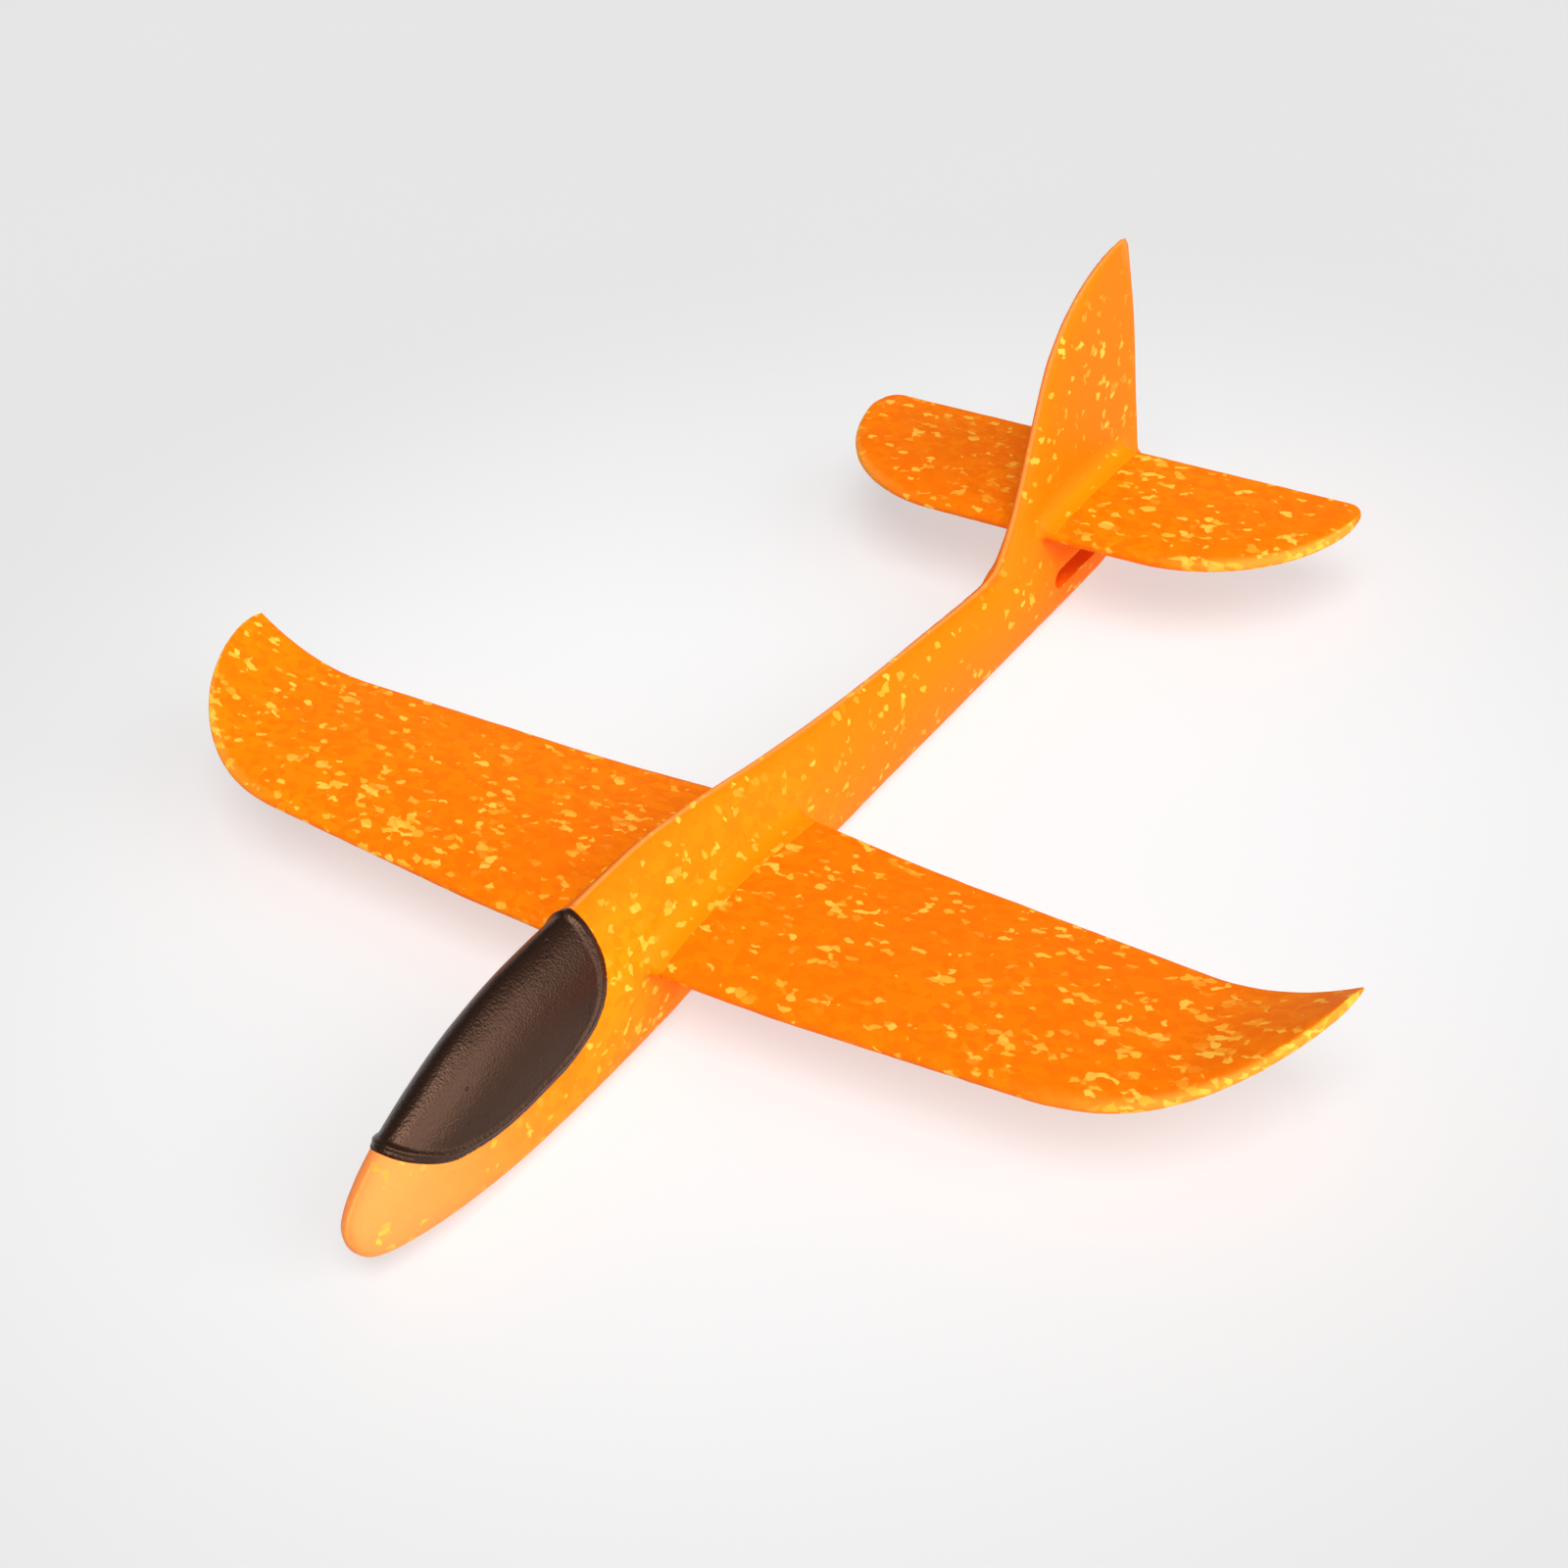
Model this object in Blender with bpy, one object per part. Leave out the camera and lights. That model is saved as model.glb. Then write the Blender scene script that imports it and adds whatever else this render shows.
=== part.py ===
"""A hand-launch foam glider: fuselage with its fin, one-piece wing and tailplane, canopy, nose weight.

Shapes are worked out in millimetres along the fuselage: "station" runs aft from the canopy's datum near
the nose, "level" is the height above the wing's mid-plane, and "side" is the distance from the plane of
symmetry. to_world() turns them into metres with the nose towards -Y, the right wing towards -X, the belly
on Z = 0 and the origin under the middle of the aeroplane's box.
"""

import math

import bmesh
import bpy
from mathutils import Vector

# Driving dimensions, millimetres
NOSE_STATION = -5.0
END_STATION = 485.2
BELLY_LEVEL = -29.5
GAP = 0.3

HALF_SPAN = 240.5
WING_LE = 131.4
WING_TE = 226.8
WING_ROOT = 14.0  # the part inside the fuselage has straight, parallel edges
WING_THICKNESS = 8.6
WING_TILT = 5.4  # the leading edge stands this much higher than the trailing edge
WING_CAMBER = 1.6
WING_FLAT = 60.0  # the centre of the wing is flat out to this side distance
WING_LEVEL = 1.2

# How high the root fairings stand above the blade beside the body: (fraction of the chord, height)
WING_FAIRING = [(0, 6.0), (0.06, 9.5), (0.2, 9.5), (0.4, 7.0), (0.7, 5.5), (1, 4.5)]
TAIL_FAIRING = [(0, 4.0), (0.12, 6.5), (0.4, 8.0), (0.8, 6.5), (1, 4.5)]
FAIRING_LIP = 0.4  # its thickness at the outer edge
FAIRING_EDGE = 1.3  # half its thickness where it rounds the corners before and behind a blade

TAIL_HALF_SPAN = 112.0
TAIL_LE = 399.2
TAIL_TE = 465.6
TAIL_STRAIGHT = 47.0  # its leading edge is straight out to this side distance
TAIL_THICKNESS = 7.2
TAIL_LEVEL = 10.9
LOWER_SLOT_LEVEL = -12.6
LOWER_SLOT_LE = 401.5
LOWER_SLOT_HEIGHT = 8.4

CANOPY_THICKNESS = 2.7
CANOPY_PROUD = 0.7

WEIGHT_STATION = 50.0
WEIGHT_RADIUS = 4.5
WEIGHT_BOTTOM = -9.0
WEIGHT_TOP = 17.0

# Side and plan outlines of the fuselage: (station, value) points that a smooth curve runs through
RIDGE = [(-5, -7), (-3.6, -1.6), (0, 2.8), (6, 7.4), (16, 13.1), (32, 19.5), (62, 29.0), (90, 33.4),
         (120, 34.6), (150, 35.0), (184, 31.2), (224, 23.5), (268, 16.5), (320, 10.8), (366, 6.6),
         (430, 4.0), (480, 3.0)]
BELLY = [(-5, -7), (-3.4, -13.0), (0, -17.2), (8, -20.8), (20, -23.8), (40, -27.0), (70, -29.7),
         (100, -30.4), (436, -30.4), (450, -28.6), (464, -22.4), (473, -14.0), (478, -5.0), (480, 1.6)]
HALF_WIDTH = [(-5, 0.3), (-3.4, 3.6), (0, 5.8), (8, 8.4), (20, 11.0), (40, 13.9), (70, 16.0), (105, 16.6),
              (135, 16.2), (170, 14.0), (205, 11.4), (250, 9.6), (310, 8.8), (380, 8.5), (440, 7.8),
              (468, 6.2), (477, 4.0), (480, 2.2)]
WIDEST_LEVEL = [(-5, -7), (20, -6.0), (60, -4.0), (120, -3.0), (200, -4.5), (300, -8.5), (470, -9.0),
                (480, 2.2)]
SECTION_PEAK = [(-5, 1.0), (90, 1.12), (140, 1.3), (480, 1.3)]
SECTION_KEEL = [(-5, 0.68), (180, 0.66), (290, 0.82), (480, 0.82)]
FIN_LE = [(-6, 366), (4.6, 366.5), (7, 373.0), (11, 378.2), (19.6, 386.6), (38.7, 400.6), (55.5, 411.6),
          (69, 420.9), (81.4, 433.8), (90.8, 450.8), (95.2, 465.5), (96.8, 477.5)]  # (level, station)
FIN_TE = [(-6, 477.4), (3, 479.6), (27, 481.8), (70, 485.2), (96.8, 485.0)]
FIN_HALF_THICKNESS = [(-6, 7.2), (4, 6.2), (10, 5.1), (20, 4.2), (50, 3.6), (85, 2.5), (96.8, 1.5)]
CANOPY_EDGE = [(13.0, 23.0), (15.2, 16.5), (22, 8.6), (38, -0.8), (60, -3.8), (84, -2.8), (101, 1.3),
               (112, 9.3), (117.8, 21.0), (119.6, 34.0), (120.2, 46.0)]  # (station, level), front to back


def to_world(side, station, level):
    middle = (NOSE_STATION + END_STATION) / 2
    return Vector((side, station - middle, level - BELLY_LEVEL)) * 0.001


def smooth_curve(points):
    """A function through the points that never overshoots them (monotone cubic pieces)."""
    xs = [float(p[0]) for p in points]
    ys = [float(p[1]) for p in points]
    slopes = [(ys[i + 1] - ys[i]) / (xs[i + 1] - xs[i]) for i in range(len(xs) - 1)]
    tangents = [slopes[0]]
    for before, after in zip(slopes, slopes[1:]):
        flat = before * after <= 0
        tangents.append(0.0 if flat else 2 * before * after / (before + after))
    tangents.append(slopes[-1])

    def value(x):
        x = min(max(x, xs[0]), xs[-1])
        i = min(sum(1 for knot in xs[1:] if knot <= x), len(xs) - 2)
        width = xs[i + 1] - xs[i]
        t = (x - xs[i]) / width
        return ((1 + 2 * t) * (1 - t) ** 2 * ys[i] + t * (1 - t) ** 2 * width * tangents[i]
                + t * t * (3 - 2 * t) * ys[i + 1] + t * t * (t - 1) * width * tangents[i + 1])

    return value


ridge_level = smooth_curve(RIDGE)
belly_level = smooth_curve(BELLY)
half_width = smooth_curve(HALF_WIDTH)
widest_level = smooth_curve(WIDEST_LEVEL)
section_peak = smooth_curve(SECTION_PEAK)
section_keel = smooth_curve(SECTION_KEEL)
fin_leading = smooth_curve(FIN_LE)
fin_trailing = smooth_curve(FIN_TE)
fin_half_thickness = smooth_curve(FIN_HALF_THICKNESS)


def spaced(start, end, count, bunch=0.0):
    """Even steps from start to end; bunch 1 packs them at both ends, as a cosine does."""
    steps = []
    for i in range(count):
        t = i / (count - 1)
        t = (1 - bunch) * t + bunch * (1 - math.cos(math.pi * t)) / 2
        steps.append(start + (end - start) * t)
    return steps


def mesh_object(name, bm):
    """A smooth-shaded object from a bmesh, with its creases kept sharp."""
    bmesh.ops.remove_doubles(bm, verts=bm.verts, dist=1e-6)
    bmesh.ops.recalc_face_normals(bm, faces=bm.faces)
    mesh = bpy.data.meshes.new(name)
    bm.to_mesh(mesh)
    bm.free()
    mesh.shade_smooth()
    mesh.set_sharp_from_angle(angle=math.radians(40))
    obj = bpy.data.objects.new(name, mesh)
    bpy.context.scene.collection.objects.link(obj)
    return obj


def loft(name, rings):
    """A closed skin through rings of equal length, each a list of (side, station, level)."""
    bm = bmesh.new()
    rows = [[bm.verts.new(to_world(*point)) for point in ring] for ring in rings]
    count = len(rings[0])
    for row, after in zip(rows, rows[1:]):
        for i in range(count):
            j = (i + 1) % count
            bm.faces.new((row[i], row[j], after[j], after[i]))
    bm.faces.new(rows[0])
    bm.faces.new(rows[-1])
    return mesh_object(name, bm)


def helper(obj):
    """A cutter or a joined piece: it shapes another object and isn't a part itself."""
    obj.hide_render = True
    obj.display_type = 'WIRE'
    return obj


def boolean(obj, other, operation):
    modifier = obj.modifiers.new(other.name, 'BOOLEAN')
    modifier.operation = operation
    modifier.solver = 'EXACT'
    modifier.object = other
    helper(other)


def make_material(name, colour, roughness, metallic=0.0):
    material = bpy.data.materials.new(name)
    material.use_nodes = True
    shader = material.node_tree.nodes['Principled BSDF']
    shader.inputs['Base Color'].default_value = (*colour, 1.0)
    shader.inputs['Roughness'].default_value = roughness
    shader.inputs['Metallic'].default_value = metallic
    return material


# Fuselage body


def body_ring(station, grow):
    """The fuselage's cross-section: a rounded top with a slight peak and a squarer, flat-bottomed keel."""
    peak, keel, points = section_peak(station), section_keel(station), 40
    middle = widest_level(station)
    width = max(half_width(station) + grow, 0.3)
    top = max(ridge_level(station) - middle + grow, 0.3)
    bottom = max(middle - belly_level(station) + grow, 0.3)
    ring = []
    for i in range(points):
        angle = 2 * math.pi * i / points
        across, up = math.cos(angle), math.sin(angle)
        if up >= 0:
            side, level = abs(across) ** peak * width, middle + up * top
        else:
            side, level = abs(across) ** keel * width, middle - abs(up) ** keel * bottom
        level = max(level, BELLY_LEVEL - grow)
        ring.append((math.copysign(side, across), station, level))
    return ring


def fuselage_body(name, grow=0.0):
    stations = spaced(NOSE_STATION, 12, 9, 0.4)[:-1] + spaced(12, 132, 17) + spaced(132, 240, 13)[1:]
    stations += spaced(240, 440, 13)[1:] + spaced(440, 480, 11, 0.4)[1:]
    return loft(name, [body_ring(station, grow) for station in stations])


def fin(name):
    """Upright blade: its chord runs from the swept leading edge to the near-vertical trailing edge."""
    rings = []
    low = spaced(4.6, 19.6, 6)[:-1] + spaced(19.6, 60, 8)[:-1]
    for level in [-6] + low + spaced(60, 93, 10)[:-1] + [93, 95.2, 96.3, 96.8]:
        lead, trail = fin_leading(level), fin_trailing(level)
        thick = fin_half_thickness(level)
        rings.append([(side * thick, lead + (trail - lead) * along, level)
                      for along, side in blade_section(0.25, 0.38, 12)])
    return loft(name, rings)


# Wing and tailplane


def half_thickness(along, fullest, edge):
    """Half thickness of a blade, 1 at its fullest: a round nose and a tapered tail with a rounded edge."""
    if along < fullest:
        return (1 - (1 - along / fullest) ** 3) ** 0.42
    tail = (along - fullest) / (1 - fullest)
    taper = edge + (1 - edge) * math.cos(math.pi / 2 * tail) ** 1.2
    rounding = max(0.0, (along - 0.97) / 0.03)
    return taper * math.sqrt(max(0.0, 1 - rounding ** 2))


def blade_section(fullest, edge, count):
    """(along, side) points round a blade's section, from its trailing edge over one side and back."""
    def place(i):
        t = i / count
        return 0.5 * t * t + 0.5 * (1 - math.cos(math.pi * t)) / 2 if t < 1 else 1.0
    alongs = [place(i) for i in range(count)] + [0.97, 0.99]
    upper = [(a, half_thickness(a, fullest, edge)) for a in alongs[1:]]
    lower = [(a, -h) for a, h in upper]
    return [(1.0, 0.0)] + upper[::-1] + [(0.0, 0.0)] + lower


def wing_leading(side):
    straight, corner = 162.0, wing_trailing(HALF_SPAN)
    if side <= straight:
        return WING_LE + 0.03 * max(side - WING_ROOT, 0.0)
    start = WING_LE + 0.03 * (straight - WING_ROOT)
    across = min(1.0, (side - straight) / (HALF_SPAN - straight))
    return corner - (corner - start) * math.sqrt(1 - across ** 2)


def wing_trailing(side):
    tip = max(0.0, (side - 186) / 54)
    return WING_TE - 0.088 * max(side - WING_ROOT, 0.0) + 6.3 * tip ** 2


def wing_rise(side):
    """The wing is flat at its centre, rises in a shallow dihedral and curls up at the tip."""
    tip = max(0.0, (side - 186) / 54)
    dihedral = math.sqrt(max(0.0, side - WING_FLAT) ** 2 + 225) - 15
    return 0.0542 * dihedral + 13.4 * tip ** 2


def wing_ring(side, grow=0.0):
    """The wing's section at a side distance, grown by a clearance all round."""
    distance = abs(side)
    lead, trail = wing_leading(distance), wing_trailing(distance)
    chord = trail - lead
    thick = WING_THICKNESS / 2 * (0.45 + 0.55 * chord / (WING_TE - WING_LE)) * min(1.0, chord / 20 + 0.3)
    ring = []
    for along, up in blade_section(0.33, 0.3, 16):
        station = lead + chord * along
        back = (station - WING_LE) / (WING_TE - WING_LE)
        mean = WING_LEVEL + WING_TILT * (0.5 - back) + WING_CAMBER * math.sin(math.pi * back)
        level = wing_rise(distance) + mean + grown(up, thick, grow)
        ring.append((side, station + grow * (2 * along - 1), level))
    return ring


def grown(up, thick, grow):
    """A blade's signed half thickness with a clearance added on both faces."""
    return up * thick + (math.copysign(grow, up) if up else 0.0)


def wing():
    angles = (12, 24, 36, 47, 57, 66, 73, 79, 83.5)
    tip = [162 + (HALF_SPAN - 162) * math.sin(math.radians(angle)) for angle in angles]
    sides = [0, WING_ROOT, 24, 36, 48, WING_FLAT, 72, 90, 108, 126, 144, 162] + tip
    sides = [-s for s in sides[:0:-1]] + sides
    return loft('wing', [wing_ring(side) for side in sides])


def tail_leading(side):
    straight, corner = TAIL_STRAIGHT, TAIL_TE - 9.0
    if side <= straight:
        return TAIL_LE
    across = min(1.0, (side - straight) / (TAIL_HALF_SPAN - straight))
    return corner - (corner - TAIL_LE) * math.sqrt(1 - across ** 2)


def tail_trailing(side):
    radius = 8.0
    past = max(0.0, side - (TAIL_HALF_SPAN - radius)) / radius
    return TAIL_TE - radius * (1 - math.sqrt(max(0.0, 1 - past ** 2)))


def tail_ring(side, grow=0.0):
    """The tailplane's section at a side distance, grown by a clearance all round."""
    distance = abs(side)
    lead, trail = tail_leading(distance), tail_trailing(distance)
    chord = trail - lead
    thick = TAIL_THICKNESS / 2 * (0.5 + 0.5 * chord / (TAIL_TE - TAIL_LE)) * min(1.0, chord / 16 + 0.3)
    return [(side, lead + chord * along + grow * (2 * along - 1), TAIL_LEVEL + grown(up, thick, grow))
            for along, up in blade_section(0.33, 0.32, 12)]


def tailplane():
    reach = TAIL_HALF_SPAN - TAIL_STRAIGHT
    tip = [TAIL_STRAIGHT + reach * math.sin(math.radians(a)) for a in (12, 24, 36, 47, 57, 66, 73, 79, 83)]
    sides = [0, 12, 24, 36, TAIL_STRAIGHT] + tip
    sides = [-s for s in sides[:0:-1]] + sides
    return loft('tailplane', [tail_ring(side) for side in sides])


def body_side(station, level):
    """How far out the fuselage's skin is at a level above its widest."""
    middle = widest_level(station)
    up = (level - middle) / (ridge_level(station) - middle)
    return half_width(station) * (1 - up * up) ** (section_peak(station) / 2)


def fin_side(station, level):
    """How far out the fin's skin is."""
    lead, trail = fin_leading(level), fin_trailing(level)
    along = min(max((station - lead) / (trail - lead), 0.0), 1.0)
    return fin_half_thickness(level) * half_thickness(along, 0.25, 0.38)


def fairing(name, base, skin, heights, width, corner):
    """A hollow-curved root fairing that rises from a blade's upper face to the side it meets.

    Its sections run across the aeroplane. Each reaches down to the middle of the blade's slot, which cuts
    that part away again. Past the blade's two edges it narrows in plan and runs down the side as well,
    which rounds the inner corners.
    """
    height_at = smooth_curve(heights)
    half = len(base) // 2
    upper, lower = base[half:0:-1], base[half:]
    lead, trail = upper[0][1], base[0][1]
    spots = [(lead - corner * (1 - t), None) for t in (0.0, 0.2, 0.45, 0.7, 0.9)]
    spots += [(station, pair) for pair, (_, station, _) in enumerate(upper)]
    spots += [(trail + corner * t, None) for t in (0.1, 0.3, 0.6, 1.0)]
    rings = []
    for station, pair in spots:
        along = (station - lead) / (trail - lead)
        rise, drop = height_at(along), 0.0
        if pair is None:
            edge, past = (upper[0], lead - station) if along < 0 else (base[0], station - trail)
            round_off = math.sqrt(1 - (past / corner) ** 2)
            reach = corner * (1 - math.sqrt(1 - (1 - past / corner) ** 2)) + 0.1
            thick = FAIRING_EDGE * round_off + 0.1
            top, bottom = edge[2] + thick, edge[2] - thick
            rise, drop = rise * round_off, 0.5 * rise * round_off
        else:
            reach = width
            top = upper[pair][2] + FAIRING_LIP
            bottom = (upper[pair][2] + lower[pair][2]) / 2
        inner = skin(station, top + 0.8 * rise)
        curve = [(inner * 0.4, bottom - drop)]
        for step in range(6 + 1):
            inward = 1 - step / 6
            curve.append((inner + reach * (1 - inward), bottom - drop * (1 - math.sqrt(1 - inward ** 2))))
        for step in range(6 + 1):
            inward = step / 6
            curve.append((inner + reach * (1 - inward), top + rise * (1 - math.sqrt(1 - inward ** 2))))
        curve.append((inner * 0.4, top + rise))
        ring = [(side, station, level) for side, level in curve]
        rings.append(ring + [(-side, station, level) for side, level in curve[::-1]])
    return loft(name, rings)


def wing_fairing():
    return fairing('wing_fairing', wing_ring(0.0, GAP), body_side, WING_FAIRING, 9.0, 4.5)


def tail_fairing():
    return fairing('tail_fairing', tail_ring(0.0, GAP), fin_side, TAIL_FAIRING, 7.5, 4.5)


def slot(name, ring, length):
    """A prism along the span with the shape of a section, to cut the hole that a blade slides in."""
    ends = (-length, length)
    return loft(name, [[(side, station, level) for _, station, level in ring] for side in ends])


def lower_slot_ring():
    """The tailplane's empty second seat: a hole with round ends, a little larger than the tailplane."""
    radius = LOWER_SLOT_HEIGHT / 2
    length = TAIL_TE - TAIL_LE + 2 * GAP
    ring = []
    for centre, start in ((LOWER_SLOT_LE + radius, 90), (LOWER_SLOT_LE + length - radius, 270)):
        for step in range(9):
            angle = math.radians(start + 22.5 * step)
            ring.append((0.0, centre + radius * math.cos(angle), LOWER_SLOT_LEVEL + radius * math.sin(angle)))
    return ring


# Canopy and nose weight


def canopy_outline(grow):
    """The canopy's edge in side view, closed above the ridge and grown outwards by a gap."""
    lengths = [0.0]
    for (s0, z0), (s1, z1) in zip(CANOPY_EDGE, CANOPY_EDGE[1:]):
        lengths.append(lengths[-1] + math.hypot(s1 - s0, z1 - z0))
    station_at = smooth_curve([(l, p[0]) for l, p in zip(lengths, CANOPY_EDGE)])
    level_at = smooth_curve([(l, p[1]) for l, p in zip(lengths, CANOPY_EDGE)])
    points = []
    for along in spaced(0, lengths[-1], 41):
        ahead, behind = min(along + 0.5, lengths[-1]), max(along - 0.5, 0.0)
        run = Vector((station_at(ahead) - station_at(behind), level_at(ahead) - level_at(behind))).normalized()
        points.append((station_at(along) + run.y * grow, level_at(along) - run.x * grow))
    (first, low), (last, high) = points[0], points[-1]
    return [(first, high)] + points if low < high else points + [(last, low)]


def canopy_prism(name, grow):
    reach = 30.0
    outline = canopy_outline(grow)
    return loft(name, [[(side, station, level) for station, level in outline] for side in (-reach, reach)])


def canopy():
    """The part of a shell just outside the fuselage's skin that lies inside the canopy's edge."""
    shell = fuselage_body('canopy', CANOPY_PROUD)
    boolean(shell, canopy_prism('canopy_edge', 0.0), 'INTERSECT')
    boolean(shell, fuselage_body('canopy_inside', -CANOPY_THICKNESS), 'DIFFERENCE')
    return shell


def turned(name, radius, bottom, top, chamfer, sides=24):
    profile = [(radius - chamfer, bottom), (radius, bottom + chamfer), (radius, top - chamfer),
               (radius - chamfer, top)]
    rings = []
    for reach, level in profile:
        rings.append([(reach * math.cos(2 * math.pi * i / sides),
                       WEIGHT_STATION + reach * math.sin(2 * math.pi * i / sides), level)
                      for i in range(sides)])
    return loft(name, rings)


def fuselage():
    body = fuselage_body('fuselage')
    boolean(body, fin('fin_blade'), 'UNION')
    boolean(body, wing_fairing(), 'UNION')
    boolean(body, tail_fairing(), 'UNION')
    boolean(body, slot('wing_slot', wing_ring(0.0, GAP), 60), 'DIFFERENCE')
    boolean(body, slot('upper_tail_slot', tail_ring(0.0, GAP), 40), 'DIFFERENCE')
    boolean(body, slot('lower_tail_slot', lower_slot_ring(), 40), 'DIFFERENCE')
    recess = canopy_prism('canopy_recess', GAP)
    boolean(recess, fuselage_body('recess_floor', -CANOPY_THICKNESS - GAP), 'DIFFERENCE')
    boolean(body, recess, 'DIFFERENCE')
    pocket = turned('weight_pocket', WEIGHT_RADIUS + GAP, WEIGHT_BOTTOM - GAP, 45, 0.4)
    boolean(body, pocket, 'DIFFERENCE')
    return body


def main():
    for obj in list(bpy.data.objects):
        bpy.data.objects.remove(obj, do_unlink=True)
    foam = make_material('yellow_orange_foam', (1.0, 0.36, 0.0), 0.75)
    blade_foam = make_material('orange_foam', (1.0, 0.22, 0.0), 0.75)
    black = make_material('canopy_black', (0.02, 0.012, 0.01), 0.45)
    steel = make_material('steel', (0.55, 0.55, 0.56), 0.35, 1.0)
    fuselage().data.materials.append(foam)
    wing().data.materials.append(blade_foam)
    tailplane().data.materials.append(blade_foam)
    canopy().data.materials.append(black)
    turned('nose_weight', WEIGHT_RADIUS, WEIGHT_BOTTOM, WEIGHT_TOP, 0.6).data.materials.append(steel)


main()
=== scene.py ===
"""A hand-launch foam glider on a pale floor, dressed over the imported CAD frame.

The outlines below repeat those of the CAD, in the same millimetres: "station" runs aft, "level" is height
and "side" is the distance from the plane of symmetry. Each visible piece is built denser and softer than
its CAD node, which it replaces.
"""

import math

import bmesh
import bpy
from mathutils import Matrix, Vector, kdtree, noise


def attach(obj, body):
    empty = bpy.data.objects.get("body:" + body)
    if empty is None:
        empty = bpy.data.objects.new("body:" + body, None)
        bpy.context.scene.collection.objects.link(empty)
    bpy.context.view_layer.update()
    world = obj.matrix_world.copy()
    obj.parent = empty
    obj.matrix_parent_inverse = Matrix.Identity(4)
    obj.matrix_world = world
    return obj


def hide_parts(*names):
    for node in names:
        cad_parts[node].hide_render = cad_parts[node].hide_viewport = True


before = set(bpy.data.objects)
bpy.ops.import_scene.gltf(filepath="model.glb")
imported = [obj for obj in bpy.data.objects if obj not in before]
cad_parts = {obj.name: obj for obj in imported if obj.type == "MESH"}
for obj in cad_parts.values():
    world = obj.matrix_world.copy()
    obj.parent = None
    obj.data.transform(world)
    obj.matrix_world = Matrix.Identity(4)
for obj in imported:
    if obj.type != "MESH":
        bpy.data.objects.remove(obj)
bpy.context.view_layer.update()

# The CAD's driving dimensions, millimetres
NOSE_STATION = -5.0
END_STATION = 485.2
MIDDLE_STATION = (NOSE_STATION + END_STATION) / 2
BELLY_LEVEL = -29.5
GAP = 0.3
FIN_FULLEST = 0.25  # where a blade is thickest, as a fraction of its chord
FIN_EDGE = 0.38  # how thick it still is just before its rounded trailing edge, as a fraction of that
FIN_TIP = 96.8
BLADE_FULLEST = 0.33
WING_EDGE = 0.3
TAIL_EDGE = 0.32
HALF_SPAN = 240.5
WING_STRAIGHT = 162.0
TIP_START = 186.0
WING_TIP = 54.0  # the length over which it sweeps up
WING_LE = 131.4
WING_TE = 226.8
WING_ROOT = 14.0
WING_THICKNESS = 8.6
WING_TILT = 5.4
WING_CAMBER = 1.6
WING_FLAT = 60.0
WING_LEVEL = 1.2
# How high the root fairings stand above the blade beside the body: (fraction of the chord, height)
WING_FAIRING = [(0, 6.0), (0.06, 9.5), (0.2, 9.5), (0.4, 7.0), (0.7, 5.5), (1, 4.5)]
TAIL_FAIRING = [(0, 4.0), (0.12, 6.5), (0.4, 8.0), (0.8, 6.5), (1, 4.5)]
# Painted shade: how far above the blade the blades' deeper orange is painted up the root fairings, where they
# turn upwards: (fraction of the chord, height)
WING_SHADE = [(0, 6.5), (0.08, 7.6), (0.2, 6.6), (0.35, 5.0), (0.7, 3.6), (1, 5.0)]
TAIL_SHADE = [(0, 1.5), (0.5, 3.0), (1, 3.0)]
FAIRING_LIP = 0.4
FAIRING_EDGE = 1.3
WING_FAIRING_WIDTH = 9.0
TAIL_FAIRING_WIDTH = 7.5
FAIRING_CORNER = 4.5
TAIL_HALF_SPAN = 112.0
TAIL_LE = 399.2
TAIL_TE = 465.6
TAIL_STRAIGHT = 47.0
TAIL_THICKNESS = 7.2
TAIL_LEVEL = 10.9
LOWER_SLOT_LEVEL = -12.6
LOWER_SLOT_LE = 401.5
LOWER_SLOT_HEIGHT = 8.4
CANOPY_THICKNESS = 2.7
CANOPY_PROUD = 0.7
RECESS_HALF_WIDTH = 30.0
POCKET_TOP = 45.0
WEIGHT_STATION = 50.0
WEIGHT_RADIUS = 4.5
WEIGHT_BOTTOM = -9.0

RIDGE = [(-5, -7), (-3.6, -1.6), (0, 2.8), (6, 7.4), (16, 13.1), (32, 19.5), (62, 29.0), (90, 33.4),
         (120, 34.6), (150, 35.0), (184, 31.2), (224, 23.5), (268, 16.5), (320, 10.8), (366, 6.6),
         (430, 4.0), (480, 3.0)]
BELLY = [(-5, -7), (-3.4, -13.0), (0, -17.2), (8, -20.8), (20, -23.8), (40, -27.0), (70, -29.7),
         (100, -30.4), (436, -30.4), (450, -28.6), (464, -22.4), (473, -14.0), (478, -5.0), (480, 1.6)]
HALF_WIDTH = [(-5, 0.3), (-3.4, 3.6), (0, 5.8), (8, 8.4), (20, 11.0), (40, 13.9), (70, 16.0), (105, 16.6),
              (135, 16.2), (170, 14.0), (205, 11.4), (250, 9.6), (310, 8.8), (380, 8.5), (440, 7.8),
              (468, 6.2), (477, 4.0), (480, 2.2)]
WIDEST_LEVEL = [(-5, -7), (20, -6.0), (60, -4.0), (120, -3.0), (200, -4.5), (300, -8.5), (470, -9.0),
                (480, 2.2)]
SECTION_PEAK = [(-5, 1.0), (90, 1.12), (140, 1.3), (480, 1.3)]
SECTION_KEEL = [(-5, 0.68), (180, 0.66), (290, 0.82), (480, 0.82)]
FIN_LE = [(-6, 366), (4.6, 366.5), (7, 373.0), (11, 378.2), (19.6, 386.6), (38.7, 400.6), (55.5, 411.6),
          (69, 420.9), (81.4, 433.8), (90.8, 450.8), (95.2, 465.5), (96.8, 477.5)]
FIN_TE = [(-6, 477.4), (3, 479.6), (27, 481.8), (70, 485.2), (96.8, 485.0)]
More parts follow.
